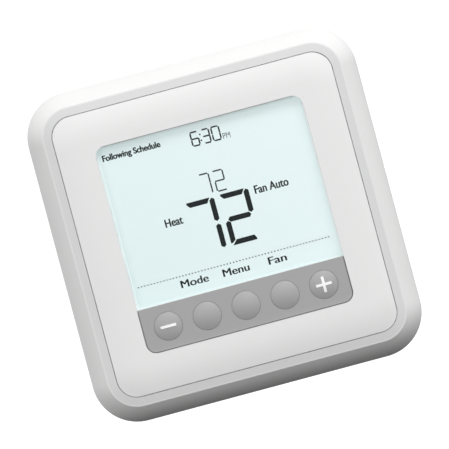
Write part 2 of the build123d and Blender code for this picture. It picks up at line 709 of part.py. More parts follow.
def wall_plate_base():
    """Floor and walls of the wall plate, with the wire entry, screw slots, hinge lugs and link rails."""
    base = plate(PLATE_W, PLATE_H, 0, PLATE_T, 0, PLATE_Z, PLATE_R)
    inner_w = PLATE_W - 2 * PLATE_WALL
    inner_h = PLATE_H - 2 * PLATE_WALL
    base += frame_ring(inner_w, inner_h, PLATE_WALL, PLATE_T, PLATE_DEPTH, 0, PLATE_Z, PLATE_R - PLATE_WALL)
    base -= plate(ENTRY_W, ENTRY_H, 0, PLATE_T, 0, PLATE_Z, ENTRY_R)
    for side in (-1, 1):
        slot = Pos(side * SCREW_SPACING / 2, PLATE_Z) * SlotOverall(SCREW_SLOT_L, SCREW_SLOT_W)
        base -= prism(slot, 0, PLATE_T)
        outer = side * DOOR_HALF
        inner = side * (DOOR_HALF - LUG_T)
        lug = slab(
            min(inner, outer), max(inner, outer), PLATE_BOTTOM + PLATE_WALL / 2, HINGE_Z + KNUCKLE_D / 2,
            PLATE_T, HINGE_DEPTH + KNUCKLE_D / 2,
        )
        base += lug
    base -= side_bar(HINGE_PIN_D, -DOOR_HALF, DOOR_HALF, HINGE_Z, HINGE_DEPTH)
    for side in (-1, 1):
        wall_z = LINK_Z + side * (LINK_W / 2 + LINK_CLEAR + RAIL_T / 2)
        base += plate(LINK_RAIL_L, RAIL_T, PLATE_T, PLATE_T + RAIL_H, LINK_X, wall_z)
        lip_z = LINK_Z + side * (LINK_W / 2 + LINK_CLEAR - RAIL_LIP_OVER)
        lip_back = PLATE_T + LINK_FLOOR + LINK_FLANGE + LINK_CLEAR
        base += plate(LINK_RAIL_L, RAIL_LIP, lip_back, lip_back + RAIL_LIP, LINK_X, lip_z)
    return base


def terminal_block(side):
    """Moulded block with a push-tab pocket, a pin socket and a wire hole for every wire."""
    block = slab(BLOCK_INNER, BLOCK_OUTER, PLATE_Z - BLOCK_H / 2, PLATE_Z + BLOCK_H / 2, PLATE_T, BLOCK_FRONT)
    pocket_floor = BLOCK_FRONT - TAB_DEEP - TAB_TRAVEL - 0.5
    for z in TERMINAL_Z:
        block -= plate(TAB_W + 2 * TAB_SIDE, TAB_H + 2 * TAB_SIDE, pocket_floor, BLOCK_FRONT, TAB_X, z)
        block -= plate(SOCKET_W, SOCKET_W, PLATE_T + 1, BLOCK_FRONT, SOCKET_X, z)
        block -= side_bar(WIRE_HOLE_D, BLOCK_INNER, SOCKET_X - SOCKET_W / 2, z, PLATE_T + 1.8)
    return block if side > 0 else mirror(block, Plane.YZ)


def terminal_contacts(side):
    """One folded brass contact in every pin socket."""
    contacts = []
    leaf_in = PIN_W / 2 + CONTACT_GAP
    leaf_out = leaf_in + CONTACT_T
    back = PLATE_T + 1
    for z in TERMINAL_Z:
        contact = plate(2 * leaf_out, PIN_W, back, back + CONTACT_T, side * SOCKET_X, z)
        for way in (-1, 1):
            x = side * SOCKET_X + way * (leaf_in + leaf_out) / 2
            contact += plate(CONTACT_T, PIN_W, back, BLOCK_FRONT - 1.5, x, z)
        contacts.append(contact)
    return group(contacts)


def push_tab(side, z):
    """Wire release tab with a finger groove across its front."""
    tab = plate(TAB_W, TAB_H, BLOCK_FRONT - TAB_DEEP, TAB_FRONT, side * TAB_X, z)
    return tab - plate(TAB_W, 0.8, TAB_FRONT - 0.4, TAB_FRONT, side * TAB_X, z)


def wiring_door():
    """Hinged cover over the wires, with two knuckles on the hinge pin and a finger notch."""
    door_top = PLATE_TOP - PLATE_WALL - DOOR_SIDE
    door_back = PLATE_DEPTH - DOOR_T
    reach = KNUCKLE_X + KNUCKLE_W / 2
    door = slab(-reach, reach, HINGE_Z, door_top, door_back, PLATE_DEPTH)
    door += slab(-DOOR_HALF, DOOR_HALF, HINGE_Z + KNUCKLE_D, door_top, door_back, PLATE_DEPTH)
    middle = KNUCKLE_X - KNUCKLE_W / 2
    door -= slab(-middle, middle, HINGE_Z - KNUCKLE_D, HINGE_Z + KNUCKLE_D, door_back, PLATE_DEPTH)
    for side in (-1, 1):
        low = side * KNUCKLE_X - KNUCKLE_W / 2
        door += side_bar(KNUCKLE_D, low, low + KNUCKLE_W, HINGE_Z, HINGE_DEPTH)
        door -= side_bar(HINGE_PIN_D + 2 * HINGE_CLEAR, low, low + KNUCKLE_W, HINGE_Z, HINGE_DEPTH)
    door += plate(DOOR_GRIP_W, 1.2, PLATE_DEPTH, TAB_FRONT, 0, door_top - 3)
    return door


def hinge_pin():
    return side_bar(HINGE_PIN_D, -DOOR_HALF, DOOR_HALF, HINGE_Z, HINGE_DEPTH)


def power_link_slider():
    """Small slider that joins or parts the two power terminals."""
    back = PLATE_T + LINK_FLOOR
    x = LINK_X - LINK_TRAVEL / 2
    flange = plate(LINK_L, LINK_W, back, back + LINK_FLANGE, x, LINK_Z)
    return flange + plate(LINK_KNOB_L, LINK_KNOB_W, back, back + LINK_KNOB_H, x, LINK_Z)


# ---------------------------------------------------------------------------
# Write every sub-part
# ---------------------------------------------------------------------------

def main():
    os.makedirs("parts", exist_ok=True)
    save("front_housing", front_housing())
    save("front_panel", front_panel())
    save("display_lens", display_lens())
    save("keypad_fascia", keypad_fascia())
    save("display_frame", display_frame())
    glass, light, strip = display_stack()
    save("display_glass", glass)
    save("backlight_panel", light)
    save("display_connector", strip)
    marks = {"minus": mark_outline(False), "plus": mark_outline(True)}
    for name, x in zip(BUTTON_NAMES, BUTTON_X):
        mark = marks.get(name)
        save("button_" + name, button(x, mark))
        save("switch_plunger_" + name, switch_plunger(x))
        if mark is not None:
            save(name + "_mark", button_mark(x, mark))
    save("main_circuit_board", circuit_board())
    save("tact_switches", group(switch_base(x) for x in BUTTON_X))
    save("relays", relays())
    save("microcontroller", microcontroller())
    save("capacitors", capacitors())
    save("temperature_sensor", temperature_sensor())
    save("board_screws", board_screws())
    save("rear_case", rear_case())
    save("case_screws", case_screws())
    for name, (z, way) in zip(("upper", "lower"), cell_places()):
        save("battery_" + name, battery(z, way))
    save("battery_contact_plates", contact_plates())
    save("battery_springs", battery_springs())
    save("wall_plate_base", wall_plate_base())
    save("door_hinge_pin", hinge_pin())
    save("wiring_door", wiring_door())
    save("power_link_slider", power_link_slider())
    for side, word in ((-1, "left"), (1, "right")):
        save("terminal_block_" + word, terminal_block(side))
        save("terminal_contacts_" + word, terminal_contacts(side))
        save("pin_header_" + word, pin_header(side))
        save("header_pins_" + word, group(header_pins(side)))
        for number, z in enumerate(TERMINAL_Z, start=1):
            save("push_tab_" + word + "_" + str(number), push_tab(side, z))


main()
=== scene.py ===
# %% [markdown]
# # A square wall thermostat
# The engineering model already holds every housing, key, board and joint at its real size. This lesson
# loads it as a fixed frame, gives each node a finish, and adds what the engineering model leaves out:
# the picture on the display, and the small mouldings and marks inside and on the back.
# All lengths are in metres. The front looks along -Y, X runs to the right and Z runs up.

# %% Load the frame
import math

import bpy
from mathutils import Matrix, Vector


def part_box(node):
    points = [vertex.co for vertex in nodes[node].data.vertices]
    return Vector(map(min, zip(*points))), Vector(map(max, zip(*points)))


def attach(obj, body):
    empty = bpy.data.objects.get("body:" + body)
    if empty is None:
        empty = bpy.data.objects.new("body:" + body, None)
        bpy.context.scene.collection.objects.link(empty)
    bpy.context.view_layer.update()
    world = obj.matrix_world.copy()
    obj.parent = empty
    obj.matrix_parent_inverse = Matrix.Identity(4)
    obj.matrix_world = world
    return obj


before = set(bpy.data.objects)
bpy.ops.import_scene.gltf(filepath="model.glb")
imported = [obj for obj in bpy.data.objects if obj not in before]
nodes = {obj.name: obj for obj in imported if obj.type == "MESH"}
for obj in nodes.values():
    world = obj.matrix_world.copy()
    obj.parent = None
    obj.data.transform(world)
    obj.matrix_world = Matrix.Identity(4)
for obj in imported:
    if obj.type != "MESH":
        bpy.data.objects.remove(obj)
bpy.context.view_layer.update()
MM = 0.001
scene = bpy.context.scene

# %% [markdown]
# ## Small helpers for modelling
# An operator acts on all that is selected, and loading leaves the nodes selected. So each piece starts
# with an empty selection. A finished piece keeps its place in its mesh, with its object at the origin.


# %% Start and finish a piece
def start():
    """Leaves nothing selected and nothing in edit mode."""
    if bpy.context.object is not None and bpy.context.object.mode != "OBJECT":
        bpy.ops.object.mode_set(mode="OBJECT")
    bpy.ops.object.select_all(action="DESELECT")


def apply_place(piece):
    """Moves the object's place, turn and scale into its mesh."""
    start()
    piece.select_set(True)
    bpy.context.view_layer.objects.active = piece
    bpy.ops.object.transform_apply(location=True, rotation=True, scale=True)
    return piece


def finish_piece(piece, name, material, body):
    """Names the piece, gives it its finish and lets it ride on its body."""
    apply_place(piece)
    piece.name = name
    piece.data.name = name
    piece.data.materials.clear()
    piece.data.materials.append(material)
    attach(piece, body)
    return piece


# %% [markdown]
# A piece that is modelled in several bodies, such as a row of bars, is joined into one object at the end. It
# then needs only one finish and one body to ride on.


# %% Join pieces into one
def join(parts):
    """One object out of several."""
    start()
    for part in parts:
        part.select_set(True)
    bpy.context.view_layer.objects.active = parts[0]
    bpy.ops.object.join()
    return bpy.context.object


# %% [markdown]
# ## Small helpers for finishes
# A finish is a set of nodes round one Principled shader. Sums on sockets are easier to read as Python
# expressions than as chains of Math nodes, so a small class wraps a socket and turns each operator into
# the node that does it. Every other node comes from one method.


# %% Numbers that are sockets
class Number:
    """A socket that takes part in sums. Each operator adds its Math node."""

    def __init__(self, finish, socket):
        self.finish = finish
        self.socket = socket

    def math(self, operation, first, second=None):
        inputs = {0: first} if second is None else {0: first, 1: second}
        return self.finish.number("ShaderNodeMath", {"operation": operation}, inputs)

    def __add__(self, other):
        return self.math("ADD", self, other)

    def __radd__(self, other):
        return self.math("ADD", other, self)

    def __sub__(self, other):
        return self.math("SUBTRACT", self, other)

    def __rsub__(self, other):
        return self.math("SUBTRACT", other, self)

    def __mul__(self, other):
        return self.math("MULTIPLY", self, other)

    def __rmul__(self, other):
        return self.math("MULTIPLY", other, self)

    def __truediv__(self, other):
        return self.math("DIVIDE", self, other)

    def __gt__(self, other):
        return self.math("GREATER_THAN", self, other)

    def __lt__(self, other):
        return self.math("LESS_THAN", self, other)

    def __abs__(self):
        return self.math("ABSOLUTE", self)


# %% [markdown]
# A finish keeps its material, its node tree and its shader together. Each method adds what a maker would
# name: a place on the piece, a noise of a known size, a blend of two colours, a raised surface.


# %% One finish
class Finish:
    """A material with one Principled shader, and ways to add nodes to it."""

    def __init__(self, name, colour, roughness, **more):
        self.material = bpy.data.materials.new(name)
        self.material.use_nodes = True
        self.tree = self.material.node_tree
        self.shader = self.tree.nodes["Principled BSDF"]
        self.set("Base Color", colour)
        self.set("Roughness", roughness)
        for socket, value in more.items():
            self.set(socket.replace("_", " "), value)

    def feed(self, socket, value):
        """Links a number or a socket to this socket, or sets its value."""
        if isinstance(value, Number):
            value = value.socket
        if isinstance(value, bpy.types.NodeSocket):
            self.tree.links.new(value, socket)
        elif isinstance(value, tuple) and len(value) == 3 and socket.type == "RGBA":
            socket.default_value = (*value, 1.0)
        else:
            socket.default_value = value

    def set(self, socket, value):
        self.feed(self.shader.inputs[socket], value)

    def node(self, kind, settings=None, inputs=None):
        """Any node: its settings first, then the values or links of its sockets."""
        made = self.tree.nodes.new(kind)
        for key, value in (settings or {}).items():
            if key == "stops":
                ramp = made.color_ramp
                while len(ramp.elements) > 1:
                    ramp.elements.remove(ramp.elements[-1])
                for place, colour in value:
                    stop = ramp.elements[0] if place == value[0][0] else ramp.elements.new(place)
                    stop.position = place
                    stop.color = (*colour, 1.0)
            else:
                setattr(made, key, value)
        for key, value in (inputs or {}).items():
            self.feed(made.inputs[key], value)
        return made

    def number(self, kind, settings=None, inputs=None, output=0):
        return Number(self, self.node(kind, settings, inputs).outputs[output])

    def place(self):
        """Object coordinates, in metres, because each piece's object sits at the origin."""
        return self.node("ShaderNodeTexCoord").outputs["Object"]

    def axes(self):
        split = self.node("ShaderNodeSeparateXYZ", None, {0: self.place()})
        return [Number(self, output) for output in split.outputs]

    def noise(self, size, detail=2.0, roughness=0.5, stretch=None):
        """Noise whose lumps are about this size in metres. Stretch squeezes or draws out its axes."""
        vector = self.place()
        if stretch is not None:
            vector = self.node("ShaderNodeMapping", None, {"Vector": vector, "Scale": stretch}).outputs[0]
        inputs = {"Vector": vector, "Scale": 1 / size, "Detail": detail, "Roughness": roughness}
        return self.number("ShaderNodeTexNoise", None, inputs)

    def rise(self, value, low, high):
        """A number that rises from 0 to 1 as the value goes from low to high, and stays there."""
        return self.number("ShaderNodeMapRange", None, {"Value": value, "From Min": low, "From Max": high})

    def mix(self, factor, first, second):
        """A colour between two colours."""
        made = self.node("ShaderNodeMix", {"data_type": "RGBA"}, {"Factor": factor})
        colour_inputs = [s for s in made.inputs if s.type == "RGBA"]
        self.feed(colour_inputs[0], first)
        self.feed(colour_inputs[1], second)
        return [s for s in made.outputs if s.type == "RGBA"][0]

    def bump(self, height, depth, strength=1.0):
        """Raises the surface by height, from 0 to 1, times a depth in metres."""
        made = self.node("ShaderNodeBump", None, {"Height": height, "Distance": depth, "Strength": strength})
        self.set("Normal", made.outputs[0])


def shade(colour, by):
    """The same colour, lighter or darker."""
    return tuple(min(1.0, part * by) for part in colour)


# %% [markdown]
# ## Moulded plastics
# Most of this object is injection-moulded ABS. The tool's texture leaves a fine grain: coarser and duller
# on the skirt and rim, nearly smooth on the front panel. A first noise makes the grain, a second and much
# larger one lets the colour and the gloss wander very slightly, as real mouldings do.


# %% Plastic
def moulded(name, colour, roughness, grain, grain_depth, wander=0.02, painted_glow=0.0):
    """A moulded plastic. Painted glow is painted light: emission that makes bright white signs look brighter,
    though they are no lamp.
    """
    finish = Finish(name, colour, roughness, Emission_Color=(1.0, 1.0, 1.0), Emission_Strength=painted_glow)
    lumps = finish.noise(12 * MM, 3.0)
    finish.set("Base Color", finish.mix(lumps, shade(colour, 1 - wander), shade(colour, 1 + wander)))
    fine = finish.noise(grain, 2.0, 0.6)
    finish.set("Roughness", (fine - 0.5) * 0.12 + (lumps - 0.5) * 0.06 + roughness)
    finish.bump(fine, grain_depth)
    return finish.material


panel_plastic = moulded("panel_plastic", (0.915, 0.915, 0.912), 0.50, 0.35 * MM, 0.004 * MM, 0.008)
back_plastic = moulded("back_plastic", (0.84, 0.84, 0.83), 0.50, 0.45 * MM, 0.015 * MM, 0.015)
keypad_grey = moulded("keypad_grey", (0.43, 0.432, 0.43), 0.45, 0.20 * MM, 0.003 * MM, 0.01)
# mark_white has a painted glow: light that the white signs and letters do not give.
mark_white = moulded("mark_white", (0.98, 0.98, 0.98), 0.35, 0.20 * MM, 0.003 * MM, 0.004, painted_glow=0.12)
black_plastic = moulded("black_plastic", (0.030, 0.030, 0.032), 0.48, 0.25 * MM, 0.010 * MM, 0.15)
relay_plastic = moulded("relay_plastic", (0.80, 0.78, 0.70), 0.30, 0.6 * MM, 0.006 * MM)
tab_plastic = moulded("tab_plastic", (0.56, 0.58, 0.60), 0.42, 0.25 * MM, 0.008 * MM)
print("plastics made")

# %% [markdown]
# ## The skirt and its rim
# Skirt and rim are one moulding, yet the flat rim strip looks a shade greyer: its face in the tool is
# etched deeper, so it traps more light. The strip is all that stands further out than the crease, so the
# distance from the wall tells the two apart. A short blend keeps the crease from looking painted.

# %% Skirt and rim
RIM_STARTS = 25.03 * MM
RIM_BLEND = 0.06 * MM
shell = Finish("shell_plastic", (0.86, 0.86, 0.855), 0.62)
out_from_wall = shell.axes()[1] * -1.0
on_rim = shell.rise(out_from_wall, RIM_STARTS, RIM_STARTS + RIM_BLEND)
cloud = shell.noise(12 * MM, 3.0)
skirt_colour = shell.mix(cloud, (0.855, 0.855, 0.85), (0.885, 0.885, 0.88))
rim_colour = shell.mix(cloud, (0.755, 0.757, 0.757), (0.785, 0.787, 0.787))
shell.set("Base Color", shell.mix(on_rim, skirt_colour, rim_colour))
etch = shell.noise(0.28 * MM, 2.0, 0.6)
shell.set("Roughness", (etch - 0.5) * 0.12 + on_rim * 0.08 + 0.58)
shell.bump(etch * (on_rim * 0.8 + 0.6), 0.02 * MM)
print("rim finish starts", RIM_STARTS / MM, "mm from the wall")

# %% [markdown]
# ## Metals
# Pins, springs, screws and contact plates are drawn, stamped or plated. Their marks run one way, so the
# noise is drawn out along one axis, and it moves the gloss more than the colour.


# %% Metal
def metal(name, colour, roughness, stretch, scratch=0.004 * MM):
    finish = Finish(name, colour, roughness, Metallic=1.0)
    lines = finish.noise(0.25 * MM, 3.0, 0.6, stretch)
    stain = finish.noise(3 * MM, 2.0)
    finish.set("Base Color", finish.mix(stain, shade(colour, 0.86), shade(colour, 1.06)))
    finish.set("Roughness", (lines - 0.5) * 0.25 + roughness)
    finish.bump(lines, scratch)
    return finish.material


steel = metal("zinc_steel", (0.62, 0.63, 0.64), 0.34, (1.0, 0.08, 1.0))
spring_metal = metal("nickel_spring", (0.70, 0.69, 0.66), 0.24, (0.2, 1.0, 1.0))
pin_metal = metal("pin_brass", (0.80, 0.62, 0.30), 0.28, (1.0, 0.1, 1.0))
can_metal = metal("capacitor_can", (0.72, 0.73, 0.74), 0.32, (1.0, 0.1, 1.0))
print("metals made")

# %% [markdown]
# ## Circuit board
# A lacquered glass-fibre board: green, with copper tracks that show through as lighter green, and a fine
# weave. Bricks stand in for the tracks, because both are straight strips that step from row to row.

# %% Board
TRACK_GAP = 0.16 * MM
TRACK_LENGTH = 7.3 * MM
TRACK_PITCH = 1.27 * MM
ROW_SHIFT = 0.37
board = Finish("green_board", (0.02, 0.16, 0.07), 0.32)
turn = (math.radians(90), 0, 0)
upright = board.node("ShaderNodeMapping", None, {"Vector": board.place(), "Rotation": turn})
tracks = board.number(
    "ShaderNodeTexBrick",
    {"offset": ROW_SHIFT},
    {
        "Vector": upright.outputs[0],
        "Scale": 1.0,
        "Mortar Size": TRACK_GAP,
        "Brick Width": TRACK_LENGTH,
        "Row Height": TRACK_PITCH,
    },
    output=1,
)
weave = board.noise(0.3 * MM, 1.0)
board.set("Base Color", board.mix(tracks, (0.015, 0.14, 0.06), (0.05, 0.30, 0.12)))
board.set("Roughness", (weave - 0.5) * 0.15 + 0.32)
board.bump(tracks + weave * 0.3, 0.03 * MM)
print("board finish made")

# %% [markdown]
# ## Battery cells
# A plain film jacket in two tones: a light band at the raised end and a dark body, with bare steel at both
# ends. Each cell points the other way, so the colours follow the distance from that cell's raised end.


# %% Cell jackets
CELL_LENGTH = 50.5 * MM
BARE_STEEL = (0.60, 0.60, 0.61)
DARK_FILM = (0.045, 0.05, 0.055)
JACKET = [
    (0.0, BARE_STEEL),
    (0.028, BARE_STEEL),
    (0.032, (0.62, 0.36, 0.16)),
    (0.30, (0.58, 0.32, 0.13)),
    (0.305, DARK_FILM),
    (0.965, DARK_FILM),
    (0.97, BARE_STEEL),
]


def cell_jacket(name, node, way):
    """The jacket of a cell whose raised end points along X this way, 1 or -1."""
    low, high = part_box(node)
    tip = high.x if way > 0 else low.x
    finish = Finish(name, (0.05, 0.06, 0.07), 0.3)
    from_tip = (tip - finish.axes()[0]) * way
    ramp = finish.node("ShaderNodeValToRGB", {"stops": JACKET}, {0: from_tip / CELL_LENGTH})
    scuffs = finish.noise(1.2 * MM, 3.0)
    finish.set("Base Color", finish.mix(scuffs * 0.12, ramp.outputs[0], (0.5, 0.5, 0.5)))
    finish.set("Roughness", (scuffs - 0.5) * 0.2 + 0.3)
    finish.set("Metallic", 0.6)
    finish.bump(scuffs, 0.002 * MM)
    return finish.material


upper_jacket = cell_jacket("cell_jacket_upper", "battery_upper", 1)
lower_jacket = cell_jacket("cell_jacket_lower", "battery_lower", -1)
print("cell jackets made")

# %% [markdown]
# ## The window
# The lens is clear acrylic. It is made nearly invisible with a low alpha rather than with true glass, so
# that the light reaches the display behind it, and so that the exported model keeps it clear.

# %% Lens
lens = Finish("clear_lens", (0.55, 0.58, 0.58), 0.12, Alpha=0.012)
dust = lens.noise(0.9 * MM, 4.0, 0.7)
lens.set("Roughness", dust * 0.1 + 0.06)
lens.set("Coat Weight", 0.2)
print("lens finish made")

# %% [markdown]
# The display glows a pale cyan from its backlight. Painted light makes it slightly stronger towards the upper
# right, the side the key lamp shines from, and painted shade makes it weaker along its left side and its
# lower edge, beside the window's walls. About half of its brightness is its own and half is light from the
# room that the reflector behind it sends back, so the window's upper edge still throws a soft shadow on it.

# %% Display face
# Width and colour of the painted shade along the display's left side and lower edge.
PAINTED_SHADE_WIDTH = 2.2 * MM
PAINTED_SHADE_COLOUR = (0.57, 0.68, 0.68)
glass_low, glass_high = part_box("display_glass")
display_face = Finish("display_face", (0.50, 0.58, 0.58), 0.35, Specular_IOR_Level=0.2)
x, _, z = display_face.axes()
to_right = display_face.rise(x, glass_low.x, glass_high.x)
to_top = display_face.rise(z, glass_low.z, glass_high.z)
# Painted light: brighter towards the upper right, the side the key lamp shines from.
painted_glow = to_right * 0.6 + to_top * 0.4
# Painted shade: darker along the left side and the lower edge of the window.
painted_shade_left = 1.0 - display_face.rise(x, glass_low.x, glass_low.x + PAINTED_SHADE_WIDTH)
painted_shade_foot = 1.0 - display_face.rise(z, glass_low.z, glass_low.z + PAINTED_SHADE_WIDTH)
# lamp is the backlight's colour with the painted light across it.
lamp = display_face.mix(painted_glow, (0.75, 0.895, 0.895), (0.89, 1.0, 1.0))
lamp_with_painted_left_shade = display_face.mix(painted_shade_left * 0.9, lamp, PAINTED_SHADE_COLOUR)
pattern = display_face.noise(0.25 * MM, 1.0)
display_face.set("Emission Color", display_face.mix(painted_shade_foot * 0.5, lamp_with_painted_left_shade, PAINTED_SHADE_COLOUR))
display_face.set("Emission Strength", 0.44)
display_face.set("Base Color", display_face.mix(pattern, (0.48, 0.56, 0.56), (0.52, 0.60, 0.60)))
display_face.set("Roughness", pattern * 0.1 + 0.3)

# %% [markdown]
# The white carrier round the glass is a plain moulding. Painted light makes its front face glow faintly where
# the lens covers it and a little past the lens's sides and top, to brighten the shadowed edge of the window.
# Elsewhere it is unlit, and the grooves round the window stay dark.

# %% Carrier frame
lens_low, lens_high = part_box("display_lens")
lens_middle = (lens_low + lens_high) / 2
lens_reach = (lens_high - lens_low) / 2
# How far the painted glow reaches: a little behind the glass front, and past the lens's sides and top.
PAINTED_GLOW_DEEP = 0.2 * MM
PAINTED_GLOW_PAST_SIDE = 0.15 * MM
PAINTED_GLOW_PAST_TOP = 0.05 * MM
carrier = Finish("carrier_plastic", (0.62, 0.63, 0.63), 0.5)
carrier_x, carrier_y, carrier_z = carrier.axes()
on_front = carrier_y < glass_low.y + PAINTED_GLOW_DEEP
across_lens = abs(carrier_x - lens_middle.x) < lens_reach.x + PAINTED_GLOW_PAST_SIDE
up_lens = abs(carrier_z - lens_middle.z) < lens_reach.z + PAINTED_GLOW_PAST_TOP
painted_glow_face = on_front * across_lens * up_lens
carrier_cloud = carrier.noise(2 * MM, 3.0)
carrier.set("Base Color", carrier.mix(carrier_cloud, (0.60, 0.62, 0.62), (0.64, 0.66, 0.66)))
# Painted glow: emission on the carrier's front face, which is no lamp.
carrier.set("Emission Color", carrier.mix(painted_glow_face, (0.0, 0.0, 0.0), (0.88, 1.0, 1.0)))
carrier.set("Emission Strength", 0.45)
carrier.set("Roughness", carrier_cloud * 0.15 + 0.42)
print("lens covers", [round(side * 2 / MM, 2) for side in lens_reach], "mm")

# %% [markdown]
# Dark segments are liquid crystal that blocks the lamp: nearly black with a hint of blue, and flat.

# %% Display ink
def display_ink(name, colour, spread):
    ink = Finish(name, colour, 0.5, Specular_IOR_Level=0.1)
    cloud = ink.noise(1.5 * MM, 2.0)
    ink.set("Base Color", ink.mix(cloud, shade(colour, 1 - spread), shade(colour, 1 + spread)))
    ink.set("Roughness", cloud * 0.1 + 0.45)
    return ink.material


segment_ink = display_ink("segment_ink", (0.010, 0.015, 0.016), 0.1)
word_ink = display_ink("word_ink", (0.10, 0.12, 0.125), 0.1)
print("display finishes made")

# %% [markdown]
# ## Rubber and light guide
# The connector strip is rubber with fine conducting layers. The light guide is milky acrylic with a dot
# pattern that scatters its light forward. The layers lie a third of a millimetre apart, the dots about one.

# %% Rubber and light guide
FINE = 900.0
rubber = Finish("connector_rubber", (0.02, 0.02, 0.02), 0.7)
layers = rubber.node("ShaderNodeTexWave", {"bands_direction": "X"}, {"Vector": rubber.place(), "Scale": FINE})
rubber.set("Base Color", rubber.mix(layers.outputs["Fac"], (0.015, 0.015, 0.015), (0.20, 0.20, 0.22)))
guide = Finish("light_guide", (0.80, 0.90, 0.90), 0.3)
dots = guide.number("ShaderNodeTexVoronoi", None, {"Vector": guide.place(), "Scale": FINE})
guide.set("Base Color", guide.mix(dots < 0.3, (0.74, 0.84, 0.84), (0.95, 0.97, 0.97)))
print("rubber and light guide made")

# %% [markdown]
# ## Give each node its finish
# Names tell what a node is made of, so a list of name beginnings is enough.

# %% Finishes by name
finish_of = [
    ("front_housing", shell.material),
    ("front_panel", panel_plastic),
    ("display_lens", lens.material),
    ("keypad_fascia", keypad_grey),
    ("button_", keypad_grey),
    ("minus_mark", mark_white),
    ("plus_mark", mark_white),
    ("display_frame", carrier.material),
    ("display_glass", display_face.material),
    ("backlight_panel", guide.material),
    ("display_connector", rubber.material),
    ("main_circuit_board", board.material),
    ("tact_switches", black_plastic),
    ("switch_plunger_", black_plastic),
    ("relays", relay_plastic),
    ("microcontroller", black_plastic),
    ("temperature_sensor", black_plastic),
    ("capacitors", can_metal),
    ("board_screws", steel),
    ("case_screws", steel),
    ("rear_case", back_plastic),
    ("battery_upper", upper_jacket),
    ("battery_lower", lower_jacket),
    ("battery_contact_plates", spring_metal),
    ("battery_springs", spring_metal),
    ("pin_header_", black_plastic),
    ("header_pins_", pin_metal),
    ("wall_plate_base", back_plastic),
    ("door_hinge_pin", steel),
    ("wiring_door", back_plastic),
    ("power_link_slider", tab_plastic),
    ("terminal_block_", black_plastic),
    ("terminal_contacts_", pin_metal),
    ("push_tab_", tab_plastic),
]
for name, node in nodes.items():
    finish = next(material for start_of, material in finish_of if name.startswith(start_of))
    node.data.materials.clear()
    node.data.materials.append(finish)
print("every node has a finish")

# %% [markdown]
# ## The picture on the display
# The display draws its figures with bars. Each bar starts as a plain thin block as long as it reaches, and
# its corners are then trimmed off with bisecting cuts: one corner trimmed makes a mitre, both corners of an
# end trimmed make a point. Neighbours so leave an even slanted gap, which reads as one figure.
# All of it lies on the front of the display glass.

# %% Where the picture lies
INK_T = 0.04 * MM
ink_y = glass_low.y - INK_T


# %% A block on the glass
def block(left, right, low_z, high_z, front_y=ink_y, thick=INK_T):
    """A thin block, on the display if no other place is given. Its sides are in millimetres."""
    start()
    middle = ((left + right) / 2 * MM, front_y + thick / 2, (low_z + high_z) / 2 * MM)
    size = ((right - left) * MM, thick, (high_z - low_z) * MM)
    bpy.ops.mesh.primitive_cube_add(size=1, location=middle, scale=size)
    return apply_place(bpy.context.object)


# %% [markdown]
# A trim names two points of the cut and lies on the line between them. The side to the left of that line,
# seen from the front, is taken away and the open side is closed.


# %% Trim
def trim(piece, first, second):
    """Cuts away what lies left of the line from first to second, both (x, z) in millimetres."""
    start()
    bpy.context.view_layer.objects.active = piece
    piece.select_set(True)
    bpy.ops.object.mode_set(mode="EDIT")
    bpy.ops.mesh.select_all(action="SELECT")
    along_x = second[0] - first[0]
    along_z = second[1] - first[1]
    bpy.ops.mesh.bisect(
        plane_co=(first[0] * MM, 0.0, first[1] * MM),
        plane_no=(-along_z, 0.0, along_x),
        use_fill=True,
        clear_outer=True,
    )
    bpy.ops.object.mode_set(mode="OBJECT")


def bar(left, right, low_z, high_z, start_trim=(0, 0), end_trim=(0, 0)):
    """A bar with trimmed ends. The start is its left or lower end.
    Each trim says how far the end's two corners draw back: lower and upper corner of a level bar,
    left and right corner of an upright one. A single trim is a mitre; two meet in a point."""
    piece = block(left, right, low_z, high_z)
    level = right - left > high_z - low_z
    mid_x = (left + right) / 2
    mid_z = (low_z + high_z) / 2
    first, second = start_trim
    third, fourth = end_trim
    if level:
        if first:
            trim(piece, (left + first, low_z), (left, mid_z if second else high_z))
        if second:
            trim(piece, (left, mid_z if first else low_z), (left + second, high_z))
        if third:
            trim(piece, (right, mid_z if fourth else high_z), (right - third, low_z))
        if fourth:
            trim(piece, (right - fourth, high_z), (right, mid_z if third else low_z))
    else:
        if first:
            trim(piece, (mid_x if second else right, low_z), (left, low_z + first))
        if second:
            trim(piece, (right, low_z + second), (mid_x if first else left, low_z))
        if third:
            trim(piece, (left, high_z - third), (mid_x if fourth else right, high_z))
        if fourth:
            trim(piece, (mid_x if third else left, high_z), (right, high_z - fourth))
    return piece


# %% [markdown]
# The large figures have stout bars with long mitres where a bar turns a corner and points where three bars
# could meet.

# %% Large figures
MITRE = 0.65
POINT = 0.6
SHOULDER = 0.75
big = [
    bar(-9.7, -2.35, 7.6, 9.2, (0.85, 0), (MITRE, 0)),
    bar(-2.6, -1.0, 1.6, 9.0, (POINT, POINT), (SHOULDER, 0.5)),
    bar(-2.6, -1.0, -6.7, 0.8, (POINT, POINT), (POINT, POINT)),
    bar(1.0, 8.55, 7.6, 9.2, (0.85, 0), (MITRE, 0)),
    bar(8.2, 9.8, 1.6, 9.0, (POINT, POINT), (SHOULDER, 0.5)),
    bar(1.5, 8.8, 0.3, 1.9, (POINT, POINT), (POINT, POINT)),
    bar(0.5, 2.1, -6.1, 0.8, (0, 0.8), (POINT, POINT)),
    bar(1.0, 8.6, -6.9, -5.3, (0, 0.9), (0, 0.6)),
]
finish_piece(join(big), "display_number_large", segment_ink, "thermostat")
print("large number:", len(big), "bars")

# %% [markdown]
# The small figures are fine lines. Which bars are lit makes the figure. The bars' names go round from the
# top: a top, b and c on the right, d bottom, e and f on the left, and g in the middle.

# %% Small figures
BARS_OF = {"7": "abc", "2": "abged", "6": "acdefg", "3": "abcdg", "0": "abcdef"}


